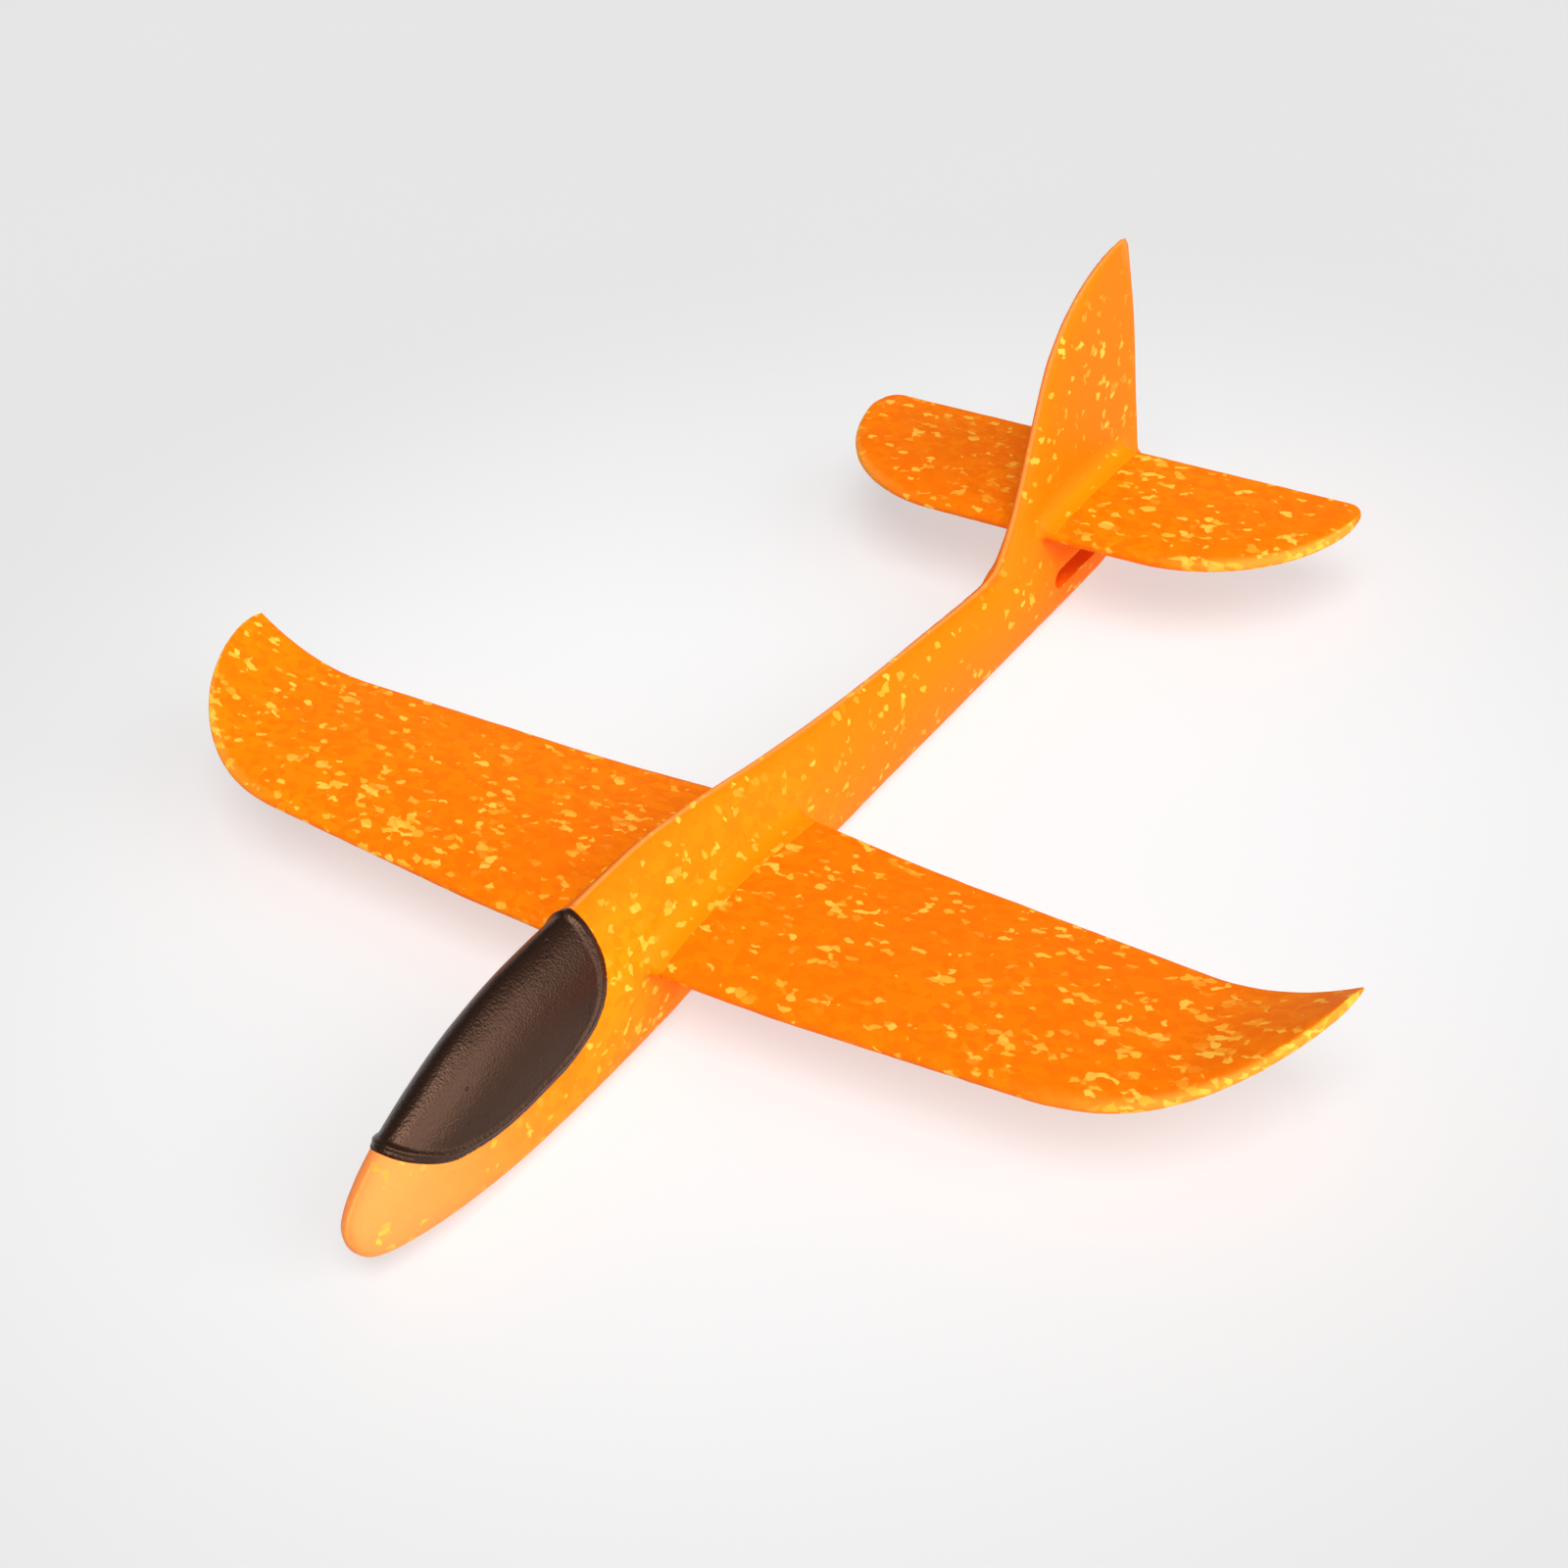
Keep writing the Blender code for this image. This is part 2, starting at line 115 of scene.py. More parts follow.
FIN_HALF_THICKNESS = [(-6, 7.2), (4, 6.2), (10, 5.1), (20, 4.2), (50, 3.6), (85, 2.5), (96.8, 1.5)]
CANOPY_EDGE = [(13.0, 23.0), (15.2, 16.5), (22, 8.6), (38, -0.8), (60, -3.8), (84, -2.8), (101, 1.3),
               (112, 9.3), (117.8, 21.0), (119.6, 34.0), (120.2, 46.0)]

# How the visible pieces differ from the CAD, millimetres
BODY_VOXEL = 0.8
CANOPY_VOXEL = 0.5
BLADE_SWELL = 0.18  # the blades fill most of the clearance round them
FILLER_GROW = 0.15  # bars that close the slots while the fuselage's skin is made
WING_FILLER_REACH = 34.0
TAIL_FILLER_REACH = 19.0
CUTTER_GROW = 0.32  # bars that then cut the slots again, with crisp edges
WING_CUTTER_REACH = 60.0
TAIL_CUTTER_REACH = 40.0
FAIRING_STEPS = 16
PARTING_HALF_WIDTH = 0.75
PARTING_HEIGHT = 0.42
PARTING_SIDES = 10
BODY_WAVES = (0.1, 7.0)  # depth and size
BLADE_WAVES = (0.09, 9.0)
CANOPY_WAVES = (0.05, 6.0)
RIM_ROUNDING = 0.9
RIM_DROP = 0.55
RIM_BEAD_INSET = 2.6
RIM_BEAD_WIDTH = 0.75
RIM_BEAD_HEIGHT = 0.5
PANEL_INSET = (3.0, 4.8)
PANEL_DROP = 0.4
# Painted highlight along the blades' leading edges near their tips
EDGE_HIGHLIGHT_WIDTH = (5.0, 1.0)  # from where it starts to where it is full


def to_world(side, station, level):
    return Vector((side, station - MIDDLE_STATION, level - BELLY_LEVEL)) * 0.001


def station_of(point):
    return point.y * 1000 + MIDDLE_STATION


def level_of(point):
    return point.z * 1000 + BELLY_LEVEL


def smooth_curve(points):
    """A function through the points that never overshoots them (monotone cubic pieces)."""
    xs = [float(p[0]) for p in points]
    ys = [float(p[1]) for p in points]
    slopes = [(ys[i + 1] - ys[i]) / (xs[i + 1] - xs[i]) for i in range(len(xs) - 1)]
    tangents = [slopes[0]]
    for before, after in zip(slopes, slopes[1:]):
        flat = before * after <= 0
        tangents.append(0.0 if flat else 2 * before * after / (before + after))
    tangents.append(slopes[-1])

    def value(x):
        x = min(max(x, xs[0]), xs[-1])
        i = min(sum(1 for knot in xs[1:] if knot <= x), len(xs) - 2)
        width = xs[i + 1] - xs[i]
        t = (x - xs[i]) / width
        return ((1 + 2 * t) * (1 - t) ** 2 * ys[i] + t * (1 - t) ** 2 * width * tangents[i]
                + t * t * (3 - 2 * t) * ys[i + 1] + t * t * (t - 1) * width * tangents[i + 1])

    return value


ridge_level = smooth_curve(RIDGE)
belly_level = smooth_curve(BELLY)
half_width = smooth_curve(HALF_WIDTH)
widest_level = smooth_curve(WIDEST_LEVEL)
section_peak = smooth_curve(SECTION_PEAK)
section_keel = smooth_curve(SECTION_KEEL)
fin_leading = smooth_curve(FIN_LE)
fin_trailing = smooth_curve(FIN_TE)
fin_half_thickness = smooth_curve(FIN_HALF_THICKNESS)


def spaced(start, end, count, bunch=0.0):
    """Even steps from start to end; bunch 1 packs them at both ends, as a cosine does."""
    steps = []
    for i in range(count):
        t = i / (count - 1)
        t = (1 - bunch) * t + bunch * (1 - math.cos(math.pi * t)) / 2
        steps.append(start + (end - start) * t)
    return steps


def smoothstep(low, high, x):
    t = min(max((x - low) / (high - low), 0.0), 1.0)
    return t * t * (3 - 2 * t)


# Meshes


def new_object(name, mesh):
    obj = bpy.data.objects.new(name, mesh)
    bpy.context.scene.collection.objects.link(obj)
    return obj


def loft(name, rings):
    """A capped skin through rings of equal length, each a list of (side, station, level)."""
    bm = bmesh.new()
    rows = [[bm.verts.new(to_world(*point)) for point in ring] for ring in rings]
    count = len(rings[0])
    for row, after in zip(rows, rows[1:]):
        for i in range(count):
            j = (i + 1) % count
            bm.faces.new((row[i], row[j], after[j], after[i]))
    bm.faces.new(rows[0])
    bm.faces.new(rows[-1])
    bmesh.ops.remove_doubles(bm, verts=bm.verts, dist=1e-6)
    bmesh.ops.recalc_face_normals(bm, faces=bm.faces)
    mesh = bpy.data.meshes.new(name)
    bm.to_mesh(mesh)
    bm.free()
    return new_object(name, mesh)


def baked(obj):
    """The object with its modifiers applied."""
    depsgraph = bpy.context.evaluated_depsgraph_get()
    mesh = bpy.data.meshes.new_from_object(obj.evaluated_get(depsgraph))
    obj.modifiers.clear()
    obj.data = mesh
    return obj


def remove(obj):
    bpy.data.objects.remove(obj, do_unlink=True)


def joined(name, objs):
    """One object holding all their meshes, which may overlap."""
    bm = bmesh.new()
    for obj in objs:
        bm.from_mesh(obj.data)
        remove(obj)
    mesh = bpy.data.meshes.new(name)
    bm.to_mesh(mesh)
    bm.free()
    return new_object(name, mesh)


def reskinned(obj, voxel, rounds):
    """One soft skin round everything in the object."""
    remesh = obj.modifiers.new('skin', 'REMESH')
    remesh.mode = 'VOXEL'
    remesh.voxel_size = voxel * 0.001
    smooth = obj.modifiers.new('soften', 'SMOOTH')
    smooth.factor = 0.5
    smooth.iterations = rounds
    return baked(obj)


def cut(obj, cutter, operation='DIFFERENCE'):
    modifier = obj.modifiers.new('cut', 'BOOLEAN')
    modifier.operation = operation
    modifier.solver = 'MANIFOLD'
    modifier.object = cutter
    baked(obj)
    remove(cutter)
    return obj


def dressed(obj, sharp=35):
    """Smooth shading that keeps the real creases."""
    obj.data.shade_smooth()
    obj.data.set_sharp_from_angle(angle=math.radians(sharp))
    return obj


# Fuselage


def body_ring(station, grow, points=96):
    peak, keel = section_peak(station), section_keel(station)
    middle = widest_level(station)
    width = max(half_width(station) + grow, 0.3)
    top = max(ridge_level(station) - middle + grow, 0.3)
    bottom = max(middle - belly_level(station) + grow, 0.3)
    ring = []
    for i in range(points):
        angle = 2 * math.pi * i / points
        across, up = math.cos(angle), math.sin(angle)
        if up >= 0:
            side, level = abs(across) ** peak * width, middle + up * top
        else:
            side, level = abs(across) ** keel * width, middle - abs(up) ** keel * bottom
        level = max(level, BELLY_LEVEL - grow)
        ring.append((math.copysign(side, across), station, level))
    return ring


def fuselage_body(name, grow=0.0):
    stations = spaced(NOSE_STATION, 12, 16, 0.4)[:-1] + spaced(12, 240, 77) + spaced(240, 440, 51)[1:]
    stations += spaced(440, 480, 22, 0.4)[1:]
    return loft(name, [body_ring(station, grow) for station in stations])


def half_thickness(along, fullest, edge):
    """Half thickness of a blade, 1 at its fullest: a round nose and a tapered tail with a rounded edge."""
    if along < fullest:
        return (1 - (1 - along / fullest) ** 3) ** 0.42
    tail = (along - fullest) / (1 - fullest)
    taper = edge + (1 - edge) * math.cos(math.pi / 2 * tail) ** 1.2
    rounding = max(0.0, (along - 0.97) / 0.03)
    return taper * math.sqrt(max(0.0, 1 - rounding ** 2))


def blade_section(fullest, edge, count, tail_steps=(0.97, 0.99)):
    """(along, side) points round a blade's section, from its trailing edge over one side and back."""
    def place(i):
        t = i / count
        return 0.5 * t * t + 0.5 * (1 - math.cos(math.pi * t)) / 2 if t < 1 else 1.0
    alongs = [place(i) for i in range(count)] + list(tail_steps)
    upper = [(a, half_thickness(a, fullest, edge)) for a in sorted(alongs)[1:]]
    lower = [(a, -h) for a, h in upper]
    return [(1.0, 0.0)] + upper[::-1] + [(0.0, 0.0)] + lower


ROUND_TAIL = (0.93, 0.95, 0.97, 0.98, 0.99, 0.996)
WING_SECTION = blade_section(BLADE_FULLEST, WING_EDGE, 44, ROUND_TAIL)
TAIL_SECTION = blade_section(BLADE_FULLEST, TAIL_EDGE, 34, ROUND_TAIL)


def fin(name):
    rings = []
    for level in spaced(-6, 20, 21)[:-1] + spaced(20, 92, 40)[:-1] + [92, 93.4, 94.6, 95.6, 96.3, FIN_TIP]:
        lead, trail = fin_leading(level), fin_trailing(level)
        thick = fin_half_thickness(level)
        rings.append([(side * thick, lead + (trail - lead) * along, level)
                      for along, side in blade_section(FIN_FULLEST, FIN_EDGE, 30)])
    return loft(name, rings)


# Wing and tailplane


def wing_leading(side):
    straight, corner = WING_STRAIGHT, wing_trailing(HALF_SPAN)
    if side <= straight:
        return WING_LE + 0.03 * max(side - WING_ROOT, 0.0)
    start = WING_LE + 0.03 * (straight - WING_ROOT)
    across = min(1.0, (side - straight) / (HALF_SPAN - straight))
    return corner - (corner - start) * math.sqrt(1 - across ** 2)


def wing_trailing(side):
    tip = max(0.0, (side - TIP_START) / WING_TIP)
    return WING_TE - 0.088 * max(side - WING_ROOT, 0.0) + 6.3 * tip ** 2


def wing_rise(side):
    """The wing is flat at its centre, rises in a shallow dihedral and curls up at the tip."""
    tip = max(0.0, (side - TIP_START) / WING_TIP)
    dihedral = math.sqrt(max(0.0, side - WING_FLAT) ** 2 + 225) - 15
    return 0.0542 * dihedral + 13.4 * tip ** 2


def grown(up, thick, grow):
    """A blade's signed half thickness with a clearance added on both faces."""
    return up * thick + (math.copysign(grow, up) if up else 0.0)


def wing_ring(side, grow=0.0, section=None):
    distance = abs(side)
    lead, trail = wing_leading(distance), wing_trailing(distance)
    chord = trail - lead
    thick = WING_THICKNESS / 2 * (0.45 + 0.55 * chord / (WING_TE - WING_LE)) * min(1.0, chord / 20 + 0.3)
    ring = []
    for along, up in section or blade_section(BLADE_FULLEST, WING_EDGE, 16):
        station = lead + chord * along
        back = (station - WING_LE) / (WING_TE - WING_LE)
        mean = WING_LEVEL + WING_TILT * (0.5 - back) + WING_CAMBER * math.sin(math.pi * back)
        level = wing_rise(distance) + mean + grown(up, thick, grow)
        ring.append((side, station + grow * (2 * along - 1), level))
    return ring


def tail_leading(side):
    straight, corner = TAIL_STRAIGHT, TAIL_TE - 9.0
    if side <= straight:
        return TAIL_LE
    across = min(1.0, (side - straight) / (TAIL_HALF_SPAN - straight))
    return corner - (corner - TAIL_LE) * math.sqrt(1 - across ** 2)


def tail_trailing(side):
    radius = 8.0
    past = max(0.0, side - (TAIL_HALF_SPAN - radius)) / radius
    return TAIL_TE - radius * (1 - math.sqrt(max(0.0, 1 - past ** 2)))


def tail_ring(side, grow=0.0, section=None):
    distance = abs(side)
    lead, trail = tail_leading(distance), tail_trailing(distance)
    chord = trail - lead
    thick = TAIL_THICKNESS / 2 * (0.5 + 0.5 * chord / (TAIL_TE - TAIL_LE)) * min(1.0, chord / 16 + 0.3)
    return [(side, lead + chord * along + grow * (2 * along - 1), TAIL_LEVEL + grown(up, thick, grow))
            for along, up in section or blade_section(BLADE_FULLEST, TAIL_EDGE, 12)]


def blade_sides(flat_steps, straight, half_span):
    """Side distances from tip to tip, closer together towards the tips."""
    tip = [straight + (half_span - straight) * math.sin(math.radians(a))
           for a in spaced(0, 78, 26)[1:] + [80.5, 82.5, 84.2, 85.6]]
    sides = spaced(0, straight, flat_steps) + tip
    return [-s for s in sides[:0:-1]] + sides


def blade(name, ring, sides, section):
    rings = [ring(side, BLADE_SWELL, section) for side in sides]
    return uneven(loft(name, rings), *BLADE_WAVES)


def uneven(obj, depth, size):
    """The slight waviness of a foam moulding: vertices move along their normals by up to depth, in mm."""
    for vertex, normal in zip(obj.data.vertices, [v.normal.copy() for v in obj.data.vertices]):
        wave = noise.noise(vertex.co * (1000 / size)) + 0.5 * noise.noise(vertex.co * (2600 / size))
        vertex.co += normal * wave * depth * 0.001
    return obj


# Root fillets


def body_side(station, level):
    middle = widest_level(station)
    up = (level - middle) / (ridge_level(station) - middle)
    return half_width(station) * (1 - up * up) ** (section_peak(station) / 2)


def fin_side(station, level):
    lead, trail = fin_leading(level), fin_trailing(level)
    along = min(max((station - lead) / (trail - lead), 0.0), 1.0)
    return fin_half_thickness(level) * half_thickness(along, FIN_FULLEST, FIN_EDGE)


def fairing(name, base, skin, heights, width, corner):
    """A hollow-curved root fairing that rises from a blade's upper face to the side it meets.

    Its sections run across the aeroplane. Each reaches down to the middle of the blade's slot, which cuts
    that part away again. Past the blade's two edges it narrows in plan and runs down the side as well,
    which rounds the inner corners.
    """
    height_at = smooth_curve(heights)
    half = len(base) // 2
    upper, lower = base[half:0:-1], base[half:]
    lead, trail = upper[0][1], base[0][1]
    spots = [(lead - corner * (1 - t), None) for t in (0.0, 0.2, 0.45, 0.7, 0.9)]
    spots += [(station, pair) for pair, (_, station, _) in enumerate(upper)]
    spots += [(trail + corner * t, None) for t in (0.1, 0.3, 0.6, 1.0)]
    rings = []
    for station, pair in spots:
        along = (station - lead) / (trail - lead)
        rise, drop = height_at(along), 0.0
        if pair is None:
            edge, past = (upper[0], lead - station) if along < 0 else (base[0], station - trail)
            round_off = math.sqrt(1 - (past / corner) ** 2)
            reach = corner * (1 - math.sqrt(1 - (1 - past / corner) ** 2)) + 0.1
            thick = FAIRING_EDGE * round_off + 0.1
            top, bottom = edge[2] + thick, edge[2] - thick
            rise, drop = rise * round_off, 0.5 * rise * round_off
        else:
            reach = width
            top = upper[pair][2] + FAIRING_LIP
            bottom = (upper[pair][2] + lower[pair][2]) / 2
        inner = skin(station, top + 0.8 * rise)
        curve = [(inner * 0.4, bottom - drop)]
        for step in range(FAIRING_STEPS + 1):
            inward = 1 - step / FAIRING_STEPS
            curve.append((inner + reach * (1 - inward), bottom - drop * (1 - math.sqrt(1 - inward ** 2))))
        for step in range(FAIRING_STEPS + 1):
            inward = step / FAIRING_STEPS
            curve.append((inner + reach * (1 - inward), top + rise * (1 - math.sqrt(1 - inward ** 2))))
        curve.append((inner * 0.4, top + rise))
        ring = [(side, station, level) for side, level in curve]
        rings.append(ring + [(-side, station, level) for side, level in curve[::-1]])
    return loft(name, rings)


def wing_fairing():
    return fairing('wing_fairing', wing_ring(0.0, GAP), body_side, WING_FAIRING, WING_FAIRING_WIDTH,
                   FAIRING_CORNER)


def tail_fairing():
    return fairing('tail_fairing', tail_ring(0.0, GAP), fin_side, TAIL_FAIRING, TAIL_FAIRING_WIDTH,
                   FAIRING_CORNER)


def prism(name, ring, reach):
    """A bar along the span with the shape of a section."""
    return loft(name, [[(side, station, level) for _, station, level in ring] for side in (-reach, reach)])


def lower_slot_ring():
    radius = LOWER_SLOT_HEIGHT / 2
    length = TAIL_TE - TAIL_LE + 2 * GAP
    ring = []
    for centre, start in ((LOWER_SLOT_LE + radius, 90), (LOWER_SLOT_LE + length - radius, 270)):
        for angle in map(math.radians, spaced(start, start + 180, 17)):
            station, level = centre + radius * math.cos(angle), LOWER_SLOT_LEVEL + radius * math.sin(angle)
            ring.append((0.0, station, level))
    return ring


# Canopy


def canopy_outline(grow, count=121):
    """The canopy's edge in side view, closed above the ridge and grown outwards by a gap."""
    lengths = [0.0]
    for (s0, z0), (s1, z1) in zip(CANOPY_EDGE, CANOPY_EDGE[1:]):
        lengths.append(lengths[-1] + math.hypot(s1 - s0, z1 - z0))
    station_at = smooth_curve([(l, p[0]) for l, p in zip(lengths, CANOPY_EDGE)])
    level_at = smooth_curve([(l, p[1]) for l, p in zip(lengths, CANOPY_EDGE)])
    points = []
    for along in spaced(0, lengths[-1], count):
        ahead, behind = min(along + 0.5, lengths[-1]), max(along - 0.5, 0.0)
        run = Vector((station_at(ahead) - station_at(behind), level_at(ahead) - level_at(behind)))
        run.normalize()
        points.append((station_at(along) + run.y * grow, level_at(along) - run.x * grow))
    return points


def canopy_prism(name, grow):
    points = canopy_outline(grow)
    (first, low), (last, high) = points[0], points[-1]
    outline = [(first, high)] + points if low < high else points + [(last, low)]
    ends = (-RECESS_HALF_WIDTH, RECESS_HALF_WIDTH)
    return loft(name, [[(side, station, level) for station, level in outline] for side in ends])


def rim_height(inset):
    """How far the canopy's skin stands out at a distance inside its edge: a round edge, a bead, a panel."""
    edge = -RIM_DROP * max(0.0, 1 - inset / RIM_ROUNDING) ** 2
    bead = RIM_BEAD_HEIGHT * math.exp(-((inset - RIM_BEAD_INSET) / RIM_BEAD_WIDTH) ** 2)
    return edge + bead - PANEL_DROP * smoothstep(*PANEL_INSET, inset)


def canopy():
    shell = fuselage_body('canopy_shell', CANOPY_PROUD)
    cut(shell, canopy_prism('edge', 0.0), 'INTERSECT')
    cut(shell, fuselage_body('inside', -CANOPY_THICKNESS))
    reskinned(shell, CANOPY_VOXEL, 2)
    outline = canopy_outline(0.0, 600)
    tree = kdtree.KDTree(len(outline))
    for i, (station, level) in enumerate(outline):
        tree.insert(to_world(0.0, station, level), i)
    tree.balance()
    moves = []
    for vertex in shell.data.vertices:
        station = station_of(vertex.co)
        out = (vertex.co - to_world(0.0, station, widest_level(station))).normalized()
        if vertex.normal.dot(out) > 0.35:
            inset = tree.find(Vector((0.0, vertex.co.y, vertex.co.z)))[2] * 1000
            moves.append((vertex.index, vertex.normal * rim_height(inset) * 0.001))
    for index, move in moves:
        shell.data.vertices[index].co += move
    return uneven(shell, *CANOPY_WAVES)


def turned(name, radius, bottom, top, chamfer, sides=48):
    profile = [(radius - chamfer, bottom), (radius, bottom + chamfer), (radius, top - chamfer),
               (radius - chamfer, top)]
    rings = []
    for reach, level in profile:
        rings.append([(reach * math.cos(2 * math.pi * i / sides),
                       WEIGHT_STATION + reach * math.sin(2 * math.pi * i / sides), level)
                      for i in range(sides)])
    return loft(name, rings)


# The parting line of the two mould halves


def parting_path():
    """Points (station, level) round the fuselage's outline on the plane of symmetry, in order."""
    path = [(s, ridge_level(s)) for s in spaced(121.5, 366.0, 150)]
    path += [(fin_leading(l), l) for l in spaced(7.0, 96.0, 90)]
    path += [(s, FIN_TIP) for s in spaced(479.5, 483.0, 4)]
    path += [(fin_trailing(l), l) for l in spaced(95.5, 3.0, 60)]
    lowest = BELLY_LEVEL + PARTING_HEIGHT
    path += [(s, max(belly_level(s), lowest)) for s in spaced(479.6, -4.6, 220)]
    path += [(s, ridge_level(s)) for s in spaced(-4.6, 14.0, 24)]
    return path


def parting_line():
    """A low bead swept along the outline, half sunk in the skin."""
    path = [Vector((s, l)) for s, l in parting_path()]
    for _ in range(3):
        inner = [(a + 2 * b + c) / 4 for a, b, c in zip(path, path[1:], path[2:])]
        path = [path[0]] + inner + [path[-1]]
    rings = []
    for before, here, after in zip([path[0]] + path, path, path[1:] + [path[-1]]):
        run = (after - before).normalized()
        out = Vector((-run.y, run.x))
        ring = []
        for i in range(PARTING_SIDES):
            angle = 2 * math.pi * i / PARTING_SIDES
            spot = here + out * PARTING_HEIGHT * math.sin(angle)
            ring.append((PARTING_HALF_WIDTH * math.cos(angle), spot.x, spot.y))
        rings.append(ring)
    return loft('parting_line', rings)


def fuselage():
    parts = [fuselage_body('body'), fin('fin'), wing_fairing(), tail_fairing(),
             prism('wing_filler', wing_ring(0.0, FILLER_GROW), WING_FILLER_REACH),
             prism('tail_filler', tail_ring(0.0, FILLER_GROW), TAIL_FILLER_REACH)]
    skin = reskinned(joined('fuselage_foam', parts), BODY_VOXEL, 3)
    uneven(skin, *BODY_WAVES)
    cut(skin, prism('wing_slot', wing_ring(0.0, CUTTER_GROW, WING_SECTION), WING_CUTTER_REACH))
    cut(skin, prism('upper_slot', tail_ring(0.0, CUTTER_GROW, TAIL_SECTION), TAIL_CUTTER_REACH))
    cut(skin, prism('lower_slot', lower_slot_ring(), TAIL_CUTTER_REACH))
    recess = cut(canopy_prism('recess', GAP), fuselage_body('floor', -CANOPY_THICKNESS - GAP))
    cut(skin, recess)
    cut(skin, turned('pocket', WEIGHT_RADIUS + GAP, WEIGHT_BOTTOM - GAP, POCKET_TOP, 0.4))
    return joined('fuselage_foam', [skin, parting_line()])


def painted_root_shade(fuselage_skin):
    """Marks, with a soft edge, the root fairings for painted shade: their upward-turning faces take the
    blades' deeper orange.
    """
    shade = fuselage_skin.data.attributes.new('painted_root_shade', 'FLOAT', 'POINT')
    roots = []
    for base, heights in ((wing_ring(0.0, 0.0), WING_SHADE), (tail_ring(0.0, 0.0), TAIL_SHADE)):
        upper = [(station, level) for _, station, level in base[len(base) // 2:0:-1]]
        roots.append((upper[0][0], upper[-1][0], smooth_curve(upper), smooth_curve(heights)))
    values = []
    for vertex in fuselage_skin.data.vertices:
        station, level = station_of(vertex.co), level_of(vertex.co)
        value = 0.0
        for lead, trail, top_at, height_at in roots:
            along = (station - lead) / (trail - lead)
            above = level - top_at(station)
            ends = smoothstep(-3.5, 0.5, station - lead) * smoothstep(-8.0, -0.5, trail - station)
            soft = smoothstep(2.2, -2.2, above - height_at(along)) * smoothstep(-6.0, -3.0, above)
            value = max(value, ends * soft)
        values.append(value)
    shade.data.foreach_set('value', values)


def painted_edge_highlight(blade_skin, lead_at, start, full):
    """Marks a blade's leading edge near its tips for a painted highlight in paler orange, fading in from
    start to full.
    """
    mark = blade_skin.data.attributes.new('painted_edge_highlight', 'FLOAT', 'POINT')
    values = []
    for vertex in blade_skin.data.vertices:
        side = abs(vertex.co.x) * 1000
        inside = station_of(vertex.co) - lead_at(side)
        values.append(smoothstep(*EDGE_HIGHLIGHT_WIDTH, inside) * smoothstep(start, full, side))
    mark.data.foreach_set('value', values)


# Materials

ORANGE = (1.0, 0.225, 0.0, 1.0)
DEEP_ORANGE = (0.94, 0.16, 0.0, 1.0)
# The fuselage's foam is yellower than the blades': partly its own colour, partly painted light for its
# brighter lit sides
YELLOW_ORANGE = (1.0, 0.28, 0.0, 1.0)
DEEP_YELLOW_ORANGE = (0.98, 0.20, 0.0, 1.0)
# Painted shade: a deeper orange for the fuselage's upward faces and its rear part
PAINTED_SHADE_ORANGE = (1.0, 0.18, 0.0, 1.0)
# Painted highlight: a paler orange for the lit nose and the light line along the parting bead
PAINTED_HIGHLIGHT_ORANGE = (1.0, 0.31, 0.075, 1.0)
# Painted highlight on the blades' leading edges near their tips
EDGE_HIGHLIGHT_ORANGE = (1.0, 0.36, 0.04, 1.0)
BRIGHT_FLECK = (1.0, 0.52, 0.06, 1.0)
DULL_FLECK = (1.0, 0.41, 0.03, 1.0)
CANOPY_DARK = (0.005, 0.0021, 0.0012, 1.0)
CANOPY_BROWN = (0.009, 0.0037, 0.0021, 1.0)
CANOPY_GRAIN = (0.013, 0.0054, 0.0032, 1.0)
# Painted shade inside the canopy's pin-holes
CANOPY_HOLE = (0.004, 0.002, 0.002, 1.0)
CANOPY_SHEEN = (1.0, 0.56, 0.38, 1.0)
DULL_STEEL = (0.5, 0.5, 0.52, 1.0)
BRIGHT_STEEL = (0.62, 0.62, 0.63, 1.0)
FLOOR_GREYS = ((0.32, 0.32, 0.32, 1.0), (0.34, 0.34, 0.34, 1.0))
WHITE = (1.0, 1.0, 1.0, 1.0)

# Sizes within the materials, millimetres
BEAD_SIZE = 2.6
BEAD_WARP = 3.8
CANOPY_CELL = 1.0
HOLE_SPACING = 2.6


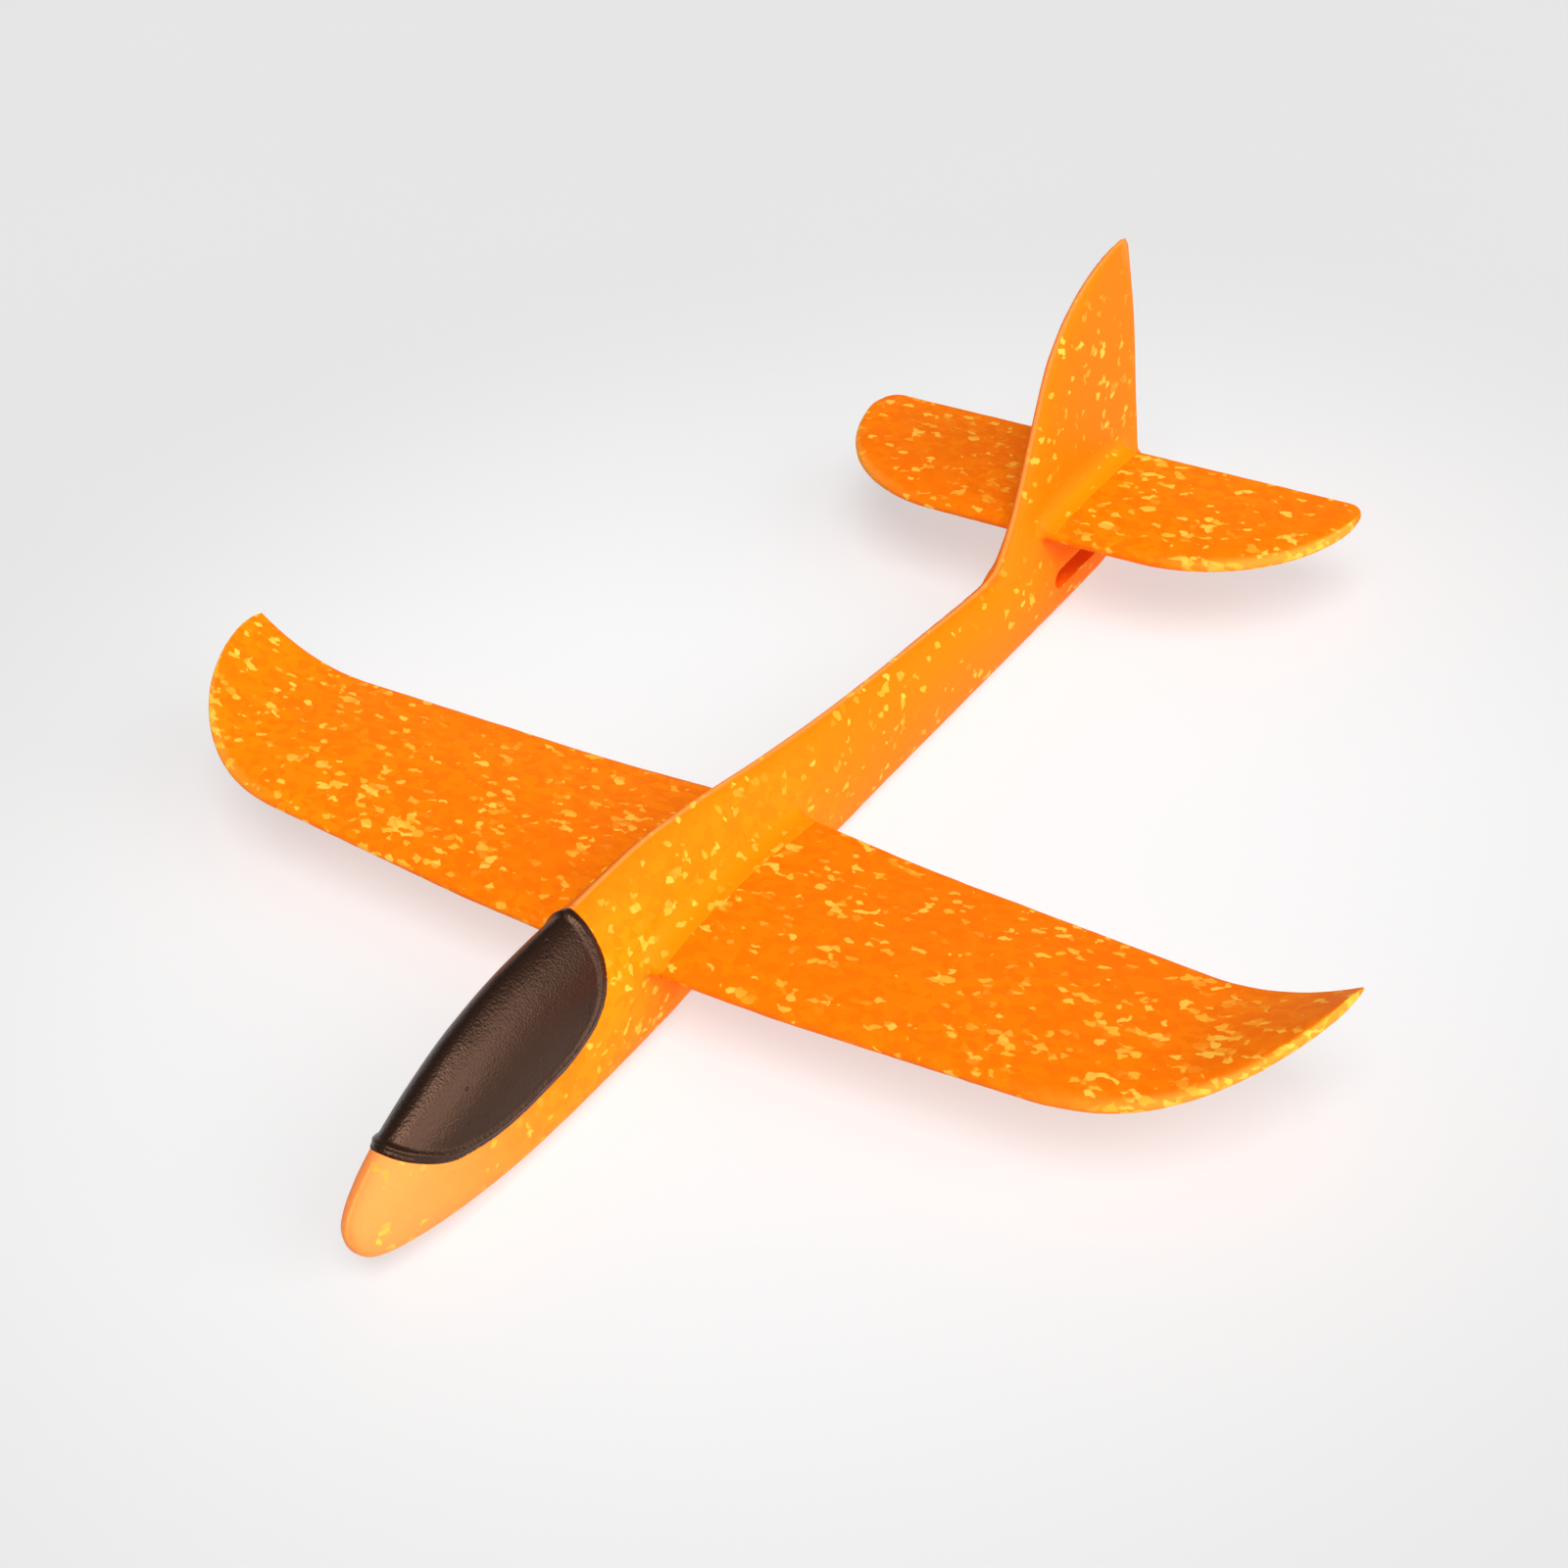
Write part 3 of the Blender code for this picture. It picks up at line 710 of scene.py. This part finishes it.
class Shading:
    """A material's node tree, built one node at a time, over the object's own coordinates."""

    def __init__(self, name):
        self.material = bpy.data.materials.new(name)
        self.material.use_nodes = True
        self.tree = self.material.node_tree
        self.shader = self.tree.nodes['Principled BSDF']
        self.place = self.node('ShaderNodeTexCoord').outputs['Object']

    def node(self, kind, inputs=None, **settings):
        made = self.tree.nodes.new(kind)
        for key, value in settings.items():
            setattr(made, key, value)
        for key, value in (inputs or {}).items():
            self.feed(made.inputs[key], value)
        return made

    def feed(self, socket, value):
        if isinstance(value, bpy.types.NodeSocket):
            self.tree.links.new(value, socket)
        else:
            socket.default_value = value

    def math(self, operation, a, b=0.0):
        return self.node('ShaderNodeMath', {0: a, 1: b}, operation=operation).outputs[0]

    def step(self, value, low, high, out_low=0.0, out_high=1.0):
        """A soft step from out_low to out_high as value goes from low to high."""
        made = self.node('ShaderNodeMapRange', {'Value': value, 'From Min': low, 'From Max': high,
                                                'To Min': out_low, 'To Max': out_high},
                         interpolation_type='SMOOTHSTEP')
        return made.outputs[0]

    def mix(self, factor, a, b):
        return self.node('ShaderNodeMix', {0: factor, 6: a, 7: b}, data_type='RGBA').outputs[2]

    def vector(self, operation, a, b):
        return self.node('ShaderNodeVectorMath', {0: a, 1: b}, operation=operation).outputs[0]

    def noise(self, size, detail=2.0, roughness=0.5, output='Fac', coordinates=None):
        inputs = {'Vector': coordinates or self.place, 'Scale': 1000 / size, 'Detail': detail,
                  'Roughness': roughness}
        return self.node('ShaderNodeTexNoise', inputs).outputs[output]

    def cells(self, coordinates, size, feature='F1', **inputs):
        inputs.update({'Vector': coordinates, 'Scale': 1000 / size})
        return self.node('ShaderNodeTexVoronoi', inputs, feature=feature)

    def channels(self, colour):
        return self.node('ShaderNodeSeparateColor', {'Color': colour}).outputs

    def mark(self, name):
        """A vertex attribute of the piece, 0 where its mesh has none of that name."""
        return self.node('ShaderNodeAttribute', attribute_name=name).outputs['Fac']

    def bump(self, height, depth, strength):
        inputs = {'Height': height, 'Distance': depth * 0.001, 'Strength': strength}
        return self.node('ShaderNodeBump', inputs).outputs['Normal']


def body_tints(s, base):
    """Painted shade: deeper orange on top, towards the tail and on the root fairings. Painted highlight: a
    pale nose and parting line.
    """
    across, aft, _ = s.node('ShaderNodeSeparateXYZ', {0: s.place}).outputs
    normal = s.node('ShaderNodeNewGeometry').outputs['Normal']
    upward = s.node('ShaderNodeSeparateXYZ', {0: normal}).outputs['Z']
    # Painted highlight along the parting-line bead on the plane of symmetry
    parting = s.step(s.math('ABSOLUTE', across), 0.0013, 0.0006, 0.0, 0.55)
    # Painted shade: upward faces, and the fuselage towards the tail, go to a deeper orange for the less light
    # they get
    base = s.mix(s.step(upward, 0.2, 0.8, 0.0, 0.75), base, PAINTED_SHADE_ORANGE)
    base = s.mix(s.step(aft, -0.06, 0.05, 0.0, 0.95), base, PAINTED_SHADE_ORANGE)
    # Painted highlight: the nose is paler, for the strong light and sheen on it
    base = s.mix(s.step(aft, -0.235, -0.150, 0.85, 0.0), base, PAINTED_HIGHLIGHT_ORANGE)
    # Painted shade on the root fairings, where they turn to face upwards
    base = s.mix(s.mark('painted_root_shade'), base, ORANGE)
    return s.mix(parting, base, PAINTED_HIGHLIGHT_ORANGE)


def blade_tints(s, base):
    # Painted highlight on the leading edges near the tips
    return s.mix(s.math('MULTIPLY', s.mark('painted_edge_highlight'), 0.6), base, EDGE_HIGHLIGHT_ORANGE)


def foam(name, colour, deep, stretch, plain, tints):
    """Moulded bead foam: tight beads with faint seams, some of them yellow.

    A stretch below 1 makes the beads longer that way. A bead is yellow where its own random number is above
    about plain, which varies in clusters and is lower on the painted edge highlight.
    """
    s = Shading(name)
    warp = s.vector('SUBTRACT', s.noise(4.0, output='Color'), (0.5, 0.5, 0.5))
    warp = s.vector('MULTIPLY', warp, (BEAD_WARP * 0.001,) * 3)
    warped = s.vector('ADD', s.vector('MULTIPLY', s.place, stretch), warp)
    beads = s.cells(warped, BEAD_SIZE, 'SMOOTH_F1', Smoothness=0.6, Randomness=1.0)
    luck, depth, brightness = s.channels(beads.outputs['Color'])[:3]

    limit = s.step(s.noise(30.0, 1.0), 0.3, 0.7, plain + 0.07, plain - 0.07)
    # More yellow beads in the painted edge highlight
    limit = s.math('SUBTRACT', limit, s.math('MULTIPLY', s.mark('painted_edge_highlight'), 0.3))
    fleck_here = s.step(s.math('SUBTRACT', luck, limit), -0.05, 0.17)
    fleck = s.mix(s.step(brightness, 0.3, 0.7), BRIGHT_FLECK, DULL_FLECK)

    base = s.mix(s.step(s.noise(60.0, 3.0), 0.3, 0.7, 0.0, 0.55), colour, deep)
    base = s.mix(s.step(depth, 0.25, 0.75, 0.0, 0.75), base, deep)
    s.feed(s.shader.inputs['Base Color'], s.mix(fleck_here, tints(s, base), fleck))

    seams = s.cells(warped, BEAD_SIZE, 'DISTANCE_TO_EDGE', Randomness=1.0).outputs['Distance']
    seam = s.step(seams, 0.0, 0.12)
    grain = s.noise(0.7, 3.0, 0.6)
    height = s.math('ADD', s.math('MULTIPLY', seam, 0.5), s.math('MULTIPLY', grain, 0.5))
    s.feed(s.shader.inputs['Normal'], s.bump(height, 0.08, 0.6))
    rough = s.math('ADD', s.math('MULTIPLY', grain, 0.2), s.math('MULTIPLY', seam, -0.06))
    s.feed(s.shader.inputs['Roughness'], s.math('ADD', rough, 0.5))
    s.shader.inputs['Specular IOR Level'].default_value = 0.08
    return s.material


def grained_shell():
    """The canopy: near-black brown with a fine pebbled grain and a few pin-holes."""
    s = Shading('canopy_grain')
    grain = s.cells(s.place, CANOPY_CELL, Randomness=0.8).outputs['Distance']
    fine = s.noise(0.35)
    spots = s.cells(s.place, HOLE_SPACING, Randomness=1.0)
    chosen = s.step(s.channels(spots.outputs['Color'])[0], 0.84, 0.86)
    patch = s.step(s.noise(40.0, 1.0), 0.5, 0.6)
    hole = s.math('MULTIPLY', chosen, patch)
    hole = s.math('MULTIPLY', hole, s.step(spots.outputs['Distance'], 0.28, 0.14))

    base = s.mix(s.step(s.noise(9.0, 3.0), 0.3, 0.7), CANOPY_DARK, CANOPY_BROWN)
    base = s.mix(s.step(grain, 0.1, 0.6), base, CANOPY_GRAIN)
    # The pin-holes are painted darker: painted shade inside them
    s.feed(s.shader.inputs['Base Color'], s.mix(hole, base, CANOPY_HOLE))

    height = s.math('ADD', grain, s.math('MULTIPLY', fine, 0.4))
    height = s.math('SUBTRACT', height, s.math('MULTIPLY', hole, 4.0))
    s.feed(s.shader.inputs['Normal'], s.bump(height, 0.16, 0.7))
    s.feed(s.shader.inputs['Roughness'], s.step(fine, 0.2, 0.8, 0.28, 0.4))
    s.shader.inputs['Specular IOR Level'].default_value = 0.55
    s.shader.inputs['Specular Tint'].default_value = CANOPY_SHEEN
    return s.material


def turned_steel():
    """The weight: fine lines round it, as a lathe leaves them."""
    s = Shading('turned_steel')
    lines = s.noise(1.2, 3.0, coordinates=s.vector('MULTIPLY', s.place, (0.3, 0.3, 6.0)))
    s.feed(s.shader.inputs['Base Color'], s.mix(lines, DULL_STEEL, BRIGHT_STEEL))
    s.feed(s.shader.inputs['Roughness'], s.step(lines, 0.2, 0.8, 0.28, 0.42))
    s.feed(s.shader.inputs['Normal'], s.bump(lines, 0.02, 0.5))
    s.shader.inputs['Metallic'].default_value = 1.0
    return s.material


# Pieces


def place_piece(obj, body, node, material):
    dressed(obj)
    obj.data.materials.clear()
    obj.data.materials.append(material)
    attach(obj, body)
    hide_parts(node)


STRETCHED_ALONG_SPAN = (0.62, 1.0, 1.0)
STRETCHED_UPRIGHT = (1.0, 0.8, 0.85)
# Partly painted light: the fuselage's yellower foam also stands for its lit sides
body_foam = foam('yellow_orange_foam', YELLOW_ORANGE, DEEP_YELLOW_ORANGE, STRETCHED_UPRIGHT, 0.845,
                 body_tints)
blade_foam = foam('orange_foam', ORANGE, DEEP_ORANGE, STRETCHED_ALONG_SPAN, 0.76, blade_tints)

body = fuselage()
painted_root_shade(body)
place_piece(body, 'fuselage', 'fuselage', body_foam)
place_piece(canopy(), 'fuselage', 'canopy', grained_shell())

wing = blade('wing_foam', wing_ring, blade_sides(90, WING_STRAIGHT, HALF_SPAN), WING_SECTION)
painted_edge_highlight(wing, wing_leading, 150.0, 215.0)
place_piece(wing, 'wing', 'wing', blade_foam)

tail = blade('tailplane_foam', tail_ring, blade_sides(30, TAIL_STRAIGHT, TAIL_HALF_SPAN), TAIL_SECTION)
painted_edge_highlight(tail, tail_leading, 50.0, 90.0)
place_piece(tail, 'tailplane', 'tailplane', blade_foam)

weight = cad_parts['nose_weight']
for slot in weight.material_slots:
    slot.material = turned_steel()

# Camera, floor and light

CAMERA_PLACE = (0.5598, -0.6178, 0.6713)
CAMERA_RIGHT = Vector((0.79990, 0.58253, -0.14427))
CAMERA_UP = Vector((-0.27056, 0.56463, 0.77973))
CAMERA_LENS = 66.887
FLOOR_RADIUS = 6.0
FLOOR_DROP = 0.0002


def photo_camera():
    """The camera that was fitted to the aeroplane's outline in the photo."""
    data = bpy.data.cameras.new('camera')
    data.lens = CAMERA_LENS
    data.sensor_width = 36.0
    camera = new_object('camera', data)
    camera.location = CAMERA_PLACE
    axes = Matrix((CAMERA_RIGHT, CAMERA_UP, CAMERA_RIGHT.cross(CAMERA_UP))).transposed()
    camera.rotation_mode = 'QUATERNION'
    camera.rotation_quaternion = axes.to_quaternion()
    bpy.context.scene.camera = camera


def floor():
    """A plain grey floor that glows a little, most under the aeroplane, so that it comes out near white."""
    bm = bmesh.new()
    bmesh.ops.create_circle(bm, cap_ends=True, segments=96, radius=FLOOR_RADIUS)
    mesh = bpy.data.meshes.new('floor')
    bm.to_mesh(mesh)
    bm.free()
    obj = new_object('floor', mesh)
    obj.location.z = -FLOOR_DROP
    s = Shading('pale_floor')
    s.feed(s.shader.inputs['Base Color'], s.mix(s.noise(400.0), *FLOOR_GREYS))
    s.shader.inputs['Emission Color'].default_value = WHITE
    distance = s.node('ShaderNodeVectorMath', {0: s.place}, operation='LENGTH').outputs['Value']
    s.feed(s.shader.inputs['Emission Strength'], s.step(distance, 0.12, 0.48, 0.57, 0.4))
    s.shader.inputs['Roughness'].default_value = 0.9
    s.shader.inputs['Specular IOR Level'].default_value = 0.1
    mesh.materials.append(s.material)


def broad_light(name, direction, strength, spread):
    """A large far-off softbox, seen from the aeroplane as a disc that many degrees across."""
    data = bpy.data.lights.new(name, 'SUN')
    data.energy = strength
    data.angle = math.radians(spread)
    obj = new_object(name, data)
    obj.rotation_mode = 'QUATERNION'
    obj.rotation_quaternion = Vector(direction).to_track_quat('Z', 'Y')


def backdrop():
    """A pale horizon that meets the floor and darkens upwards."""
    world = bpy.data.worlds.new('backdrop')
    bpy.context.scene.world = world
    world.use_nodes = True
    nodes, links = world.node_tree.nodes, world.node_tree.links
    direction = nodes.new('ShaderNodeTexCoord').outputs['Generated']
    height = nodes.new('ShaderNodeSeparateXYZ')
    ramp = nodes.new('ShaderNodeMapRange')
    ramp.interpolation_type = 'SMOOTHSTEP'
    for key, value in {'From Min': 0.0, 'From Max': 0.2, 'To Min': 0.8, 'To Max': 0.17}.items():
        ramp.inputs[key].default_value = value
    background = nodes['Background']
    background.inputs['Color'].default_value = WHITE
    links.new(direction, height.inputs[0])
    links.new(height.outputs[2], ramp.inputs['Value'])
    links.new(ramp.outputs[0], background.inputs['Strength'])


photo_camera()
floor()
backdrop()
broad_light('side', (1.8, 0.05, 0.82), 2.3, 53.0)
broad_light('overhead', (0.75, -0.7, 1.7), 2.6, 38.0)
bpy.context.scene.view_settings.view_transform = 'Standard'
